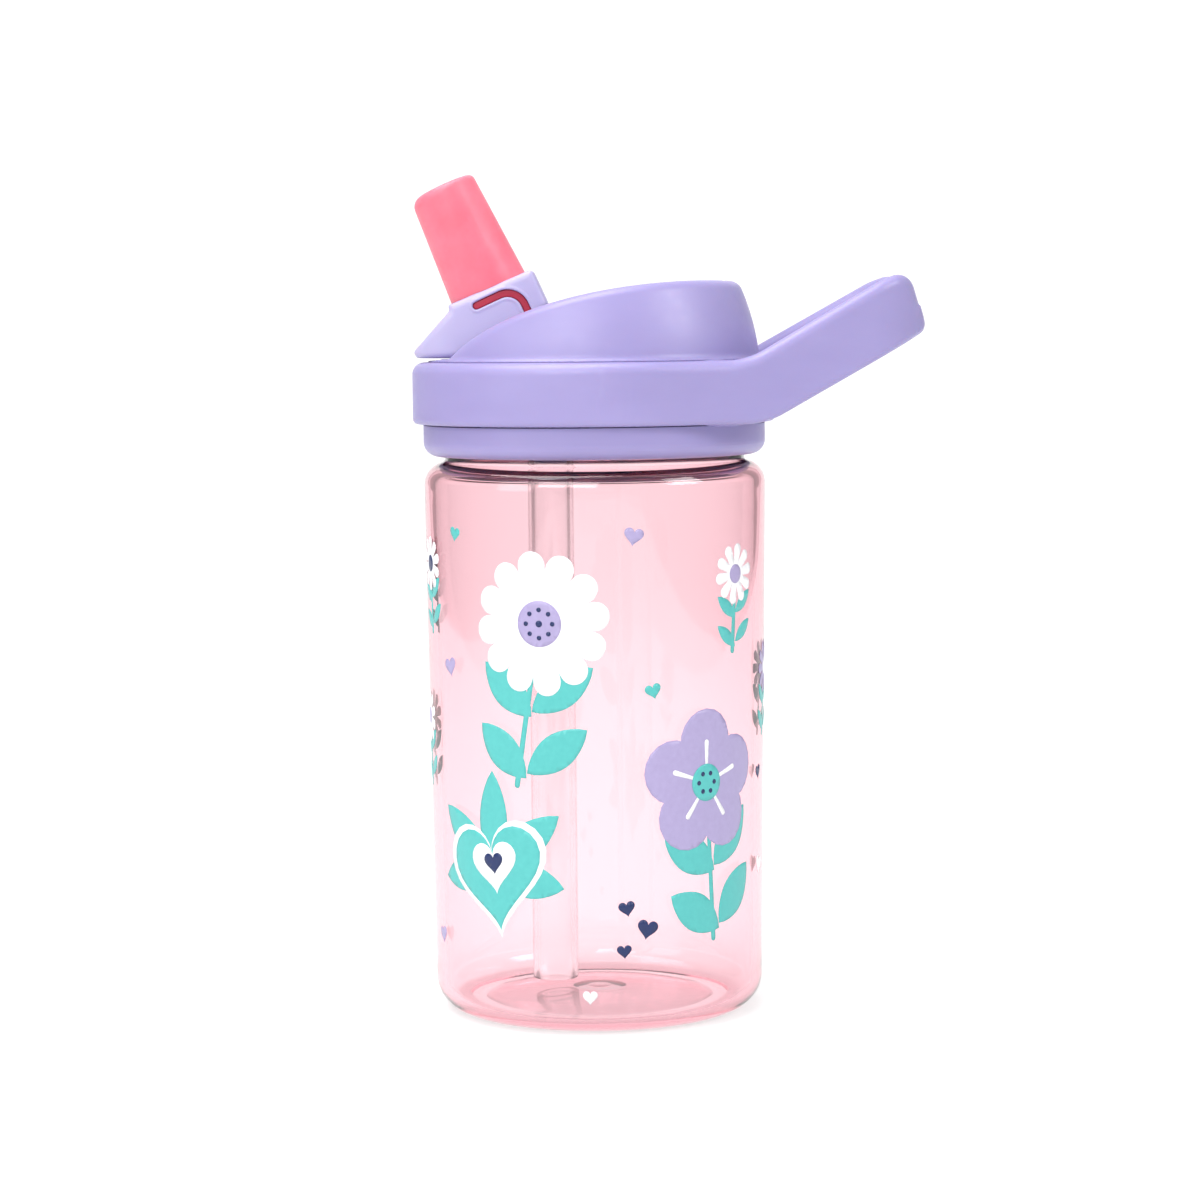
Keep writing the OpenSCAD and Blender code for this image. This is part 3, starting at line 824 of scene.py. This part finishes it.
def heart(size):
    """A heart as wide as its size, with its point down."""
    turns = np.linspace(0, 2 * math.pi, 40, endpoint=False)
    return [(size / 2 * math.sin(t) ** 3,
             size / 32 * (13 * math.cos(t) - 5 * math.cos(2 * t) - 2 * math.cos(3 * t) - math.cos(4 * t)))
            for t in turns]


def dots(count, ring_r, r):
    """Small dots in a ring."""
    return [circle(ring_r * math.cos(a), ring_r * math.sin(a), r, 12)
            for a in np.linspace(0, 2 * math.pi, count, endpoint=False)]


def sprig(height, leaf_w, pairs):
    """A stem that hangs from the origin, with pairs of leaves that point up and out."""
    outlines = [capsule((0, 0), (-0.06 * height, -height), 0.5, 0.65)]
    for pair in range(pairs):
        foot = -height * (0.95 - 0.38 * pair / max(pairs - 1, 1))
        reach = height * 0.36
        outlines.append(leaf((0, foot), (-reach, foot + reach * 0.8), leaf_w))
        outlines.append(leaf((0, foot + 1), (reach, foot + reach * 0.95), leaf_w))
    return outlines


def placed(outline, at, turn=0.0, size=1.0):
    """An outline scaled, turned and moved into place."""
    c, s = math.cos(math.radians(turn)), math.sin(math.radians(turn))
    return [(at[0] + size * (x * c - y * s), at[1] + size * (x * s + y * c)) for x, y in outline]


printed = {name: [] for name in inks}


def stamp(ink_name, layer, outlines, at, **move):
    """Adds outlines to an ink, on a layer that lies over the lower ones."""
    for outline in outlines:
        printed[ink_name].append((layer, placed(outline, at, **move)))


def flower(at, size, petal_ink, heart_ink, turn=0.0):
    """A small daisy on a leafy stem."""
    stamp("teal", 0, sprig(16, 2.8, 2), at, turn=turn, size=size)
    stamp(petal_ink, 1, petals(10, 1.8, 6.4, 2.4), at, turn=turn, size=size)
    stamp(heart_ink, 2, [circle(0, 0, 2)], at, size=size)


def big_daisy(at):
    """A large daisy with a dotted heart."""
    stamp("teal", 0, sprig(34, 7.5, 2), at, turn=-6)
    stamp("white", 1, petals(12, 4, 15, 6), at)
    stamp("lavender", 2, [circle(0, 0, 4.8, 40)], at)
    stamp("navy", 3, dots(8, 2.9, 0.5) + [circle(0, 0, 0.7)], at)


def heart_bush(at):
    """A big heart with a small one inside, over a fan of leaves."""
    for turn, length in ((-100, 17), (-52, 20), (0, 21), (52, 20), (100, 17)):
        stamp("teal", 0, [leaf((0, 0), (0, length), 7.5)], at, turn=turn)
    stamp("white", 1, [heart(27)], at, turn=8)
    stamp("teal", 2, [heart(24)], at, turn=8)
    stamp("white", 3, [heart(12)], (at[0], at[1] + 1.4), turn=8)
    stamp("navy", 4, [heart(5)], (at[0], at[1] + 1.8), turn=8)


def big_bloom(at):
    """A five-petalled bloom with a line along each petal."""
    stamp("teal", 0, sprig(33, 8, 2), at, turn=7)
    stamp("lavender", 1, petals(5, 5, 15.5, 13.5), at)
    stamp("white", 2, petals(5, 3.4, 9, 1.1), at)
    stamp("teal", 3, [circle(0, 0, 3.9, 40)], at)
    stamp("navy", 4, dots(6, 2.1, 0.5), at)


# Small hearts: ink, place along the wall and up it, size, and turn in degrees.
HEARTS = (("navy", 6, 27, 3.6, 10), ("navy", 10.5, 22.5, 4.6, -12), ("navy", 5.4, 18, 3.2, 4),
          ("lavender", 8, 104, 4.2, -10), ("lavender", -37, 76, 4.4, 12), ("teal", 12, 72, 3.6, 14),
          ("white", 47, 32, 4.2, -14), ("navy", 46, 52, 3.4, 8), ("teal", -34, 104, 3.4, -8),
          ("white", -2, 8.5, 3.2, 0), ("lavender", -44, 18, 4, 10))

big_daisy((-12, 86))
heart_bush((-24, 34))
big_bloom((25, 52))
flower((34, 95), 1.0, "white", "lavender")
flower((-47, 97), 0.9, "white", "navy", turn=6)
flower((52, 74), 0.9, "lavender", "white", turn=-6)
flower((-52, 64), 0.9, "white", "lavender", turn=8)
for ink_name, x, y, size, turn in HEARTS:
    stamp(ink_name, 1, [heart(size)], (x, y), turn=turn)


def fine(outline, spacing):
    """An outline with no side longer than the spacing."""
    points = []
    for start, end in zip(outline, outline[1:] + outline[:1]):
        steps = max(1, math.ceil(math.dist(start, end) / spacing))
        points += [(start[0] + (end[0] - start[0]) * i / steps, start[1] + (end[1] - start[1]) * i / steps)
                   for i in range(steps)]
    return points


def flat_mesh(outlines, spacing=1.2):
    """Triangles that fill overlapping outlines, fine enough to bend round the wall."""
    points, loops = [], []
    for outline in outlines:
        area = sum(a[0] * b[1] - b[0] * a[1] for a, b in zip(outline, outline[1:] + outline[:1]))
        ordered = fine(outline if area > 0 else outline[::-1], spacing)
        loops.append(list(range(len(points), len(points) + len(ordered))))
        points += ordered
    low = np.min(points, axis=0)
    high = np.max(points, axis=0)
    for row, y in enumerate(np.arange(low[1], high[1], spacing)):
        for x in np.arange(low[0] + (row % 2) * spacing / 2, high[0], spacing):
            points.append((x, y))
    result = geometry.delaunay_2d_cdt([Vector(p) for p in points], [], loops, 1, 1e-4)
    return [tuple(p) for p in result[0]], [tuple(f) for f in result[2]]


def wrap(points, lift):
    """Bends flat points round the bottle's wall."""
    flat = np.array(points)
    angle = flat[:, 0] / body_r
    radius = wall_radius(flat[:, 1]) + lift
    return np.stack([radius * np.sin(angle), -radius * np.cos(angle), flat[:, 1]], axis=-1)


def film(flat, triangles, low, high):
    """A thin closed film of ink between two lifts above the wall."""
    count = len(flat)
    points = wrap(flat, low).tolist() + wrap(flat, high).tolist()
    faces = [triangle[::-1] for triangle in triangles]
    faces += [tuple(i + count for i in triangle) for triangle in triangles]
    edges = {(t[i], t[(i + 1) % 3]) for t in triangles for i in range(3)}
    faces += [(a, b, b + count, a + count) for a, b in edges if (b, a) not in edges]
    return points, faces


FILM = 0.03  # thickness of one layer of ink

for ink_name, shapes in printed.items():
    points, faces = [], []
    for layer in sorted({layer for layer, _ in shapes}):
        flat = flat_mesh([outline for found, outline in shapes if found == layer])
        layer_points, layer_faces = film(*flat, FILM * (layer + 0.1), FILM * (layer + 1))
        faces += [tuple(i + len(points) for i in face) for face in layer_faces]
        points += layer_points
    add_piece("print_" + ink_name, points, faces, "bottle", "print_" + ink_name, inks[ink_name])


# ---------- CAD nodes that stay ----------

for node, material in {"cap_base": lavender, "cap_gasket": seal_white, "port_seal": seal_white,
                       "vent_valve": seal_white}.items():
    frame["nodes"][node].material_slots[0].material = material


# ---------- floor, lights and camera ----------

def sweep():
    """A floor that curves up into a backdrop. Dark space at its sides gives the clear walls their edges."""
    bend_y, bend_r = 1.0, 0.8
    depth = [(-2.5, 0), (-0.6, 0), (0.2, 0), (bend_y, 0)]
    depth += [(bend_y + bend_r * math.sin(a), bend_r - bend_r * math.cos(a))
              for a in np.linspace(0.1, math.pi / 2, 14)]
    depth += [(bend_y + bend_r, 3.2)]
    widths = np.linspace(-0.75, 0.75, 9)
    points = [(x, y, z) for y, z in depth for x in widths]
    across = len(widths)
    faces = [(r * across + c, r * across + c + 1, (r + 1) * across + c + 1, (r + 1) * across + c)
             for r in range(len(depth) - 1) for c in range(across - 1)]
    mesh = bpy.data.meshes.new("studio_sweep")
    mesh.from_pydata(points, [], faces)
    mesh.polygons.foreach_set("use_smooth", [True] * len(mesh.polygons))
    material, tree, shader = new_material(
        "studio_white", Roughness=0.9, Emission_Color=(1, 1, 1, 1), Emission_Strength=0.66)
    shade = spread(tree, noise(tree, 3, detail=2), 0, 1)
    tree.links.new(blend_colours(tree, shade, (0.41, 0.41, 0.41, 1), (0.43, 0.43, 0.43, 1)),
                   shader.inputs["Base Color"])
    mesh.materials.append(material)
    piece = bpy.data.objects.new("studio_sweep", mesh)
    bpy.context.scene.collection.objects.link(piece)


def softbox(name, place, aim, size, power):
    """A rectangular studio light, aimed at a point."""
    light = bpy.data.lights.new(name, "AREA")
    light.shape = "RECTANGLE"
    light.size, light.size_y = size
    light.energy = power
    lamp = bpy.data.objects.new(name, light)
    lamp.location = place
    lamp.rotation_euler = (Vector(aim) - Vector(place)).to_track_quat("-Z", "Y").to_euler()
    bpy.context.scene.collection.objects.link(lamp)


sweep()
softbox("key", (-0.35, -0.1, 1.5), (0, 0, 0.1), (1.2, 1.2), 25)
softbox("side", (-1.0, -0.7, 0.5), (0, 0, 0.1), (0.6, 0.8), 3)
softbox("front", (-0.26, -0.76, 0.55), (0, 0, 0.15), (0.6, 0.35), 3.6)
softbox("right", (1.0, -0.4, 0.8), (0, 0, 0.14), (0.5, 0.5), 6)

world = bpy.data.worlds.new("studio")
world.use_nodes = True
world.node_tree.nodes["Background"].inputs["Color"].default_value = (1, 1, 1, 1)
world.node_tree.nodes["Background"].inputs["Strength"].default_value = 0.45
bpy.context.scene.world = world

camera = bpy.data.cameras.new("camera")
camera.sensor_width = 36
camera.lens = 96.4
view = bpy.data.objects.new("camera", camera)
view.location = (0.00089, -0.69056, 0.14591)
tilt = Euler((math.radians(90 - 4.8), 0, 0)).to_matrix()
roll = Euler((0, 0, math.radians(-0.57))).to_matrix()
view.rotation_euler = (tilt @ roll).to_euler()
bpy.context.scene.collection.objects.link(view)
bpy.context.scene.camera = view
bpy.context.scene.view_settings.view_transform = "Standard"
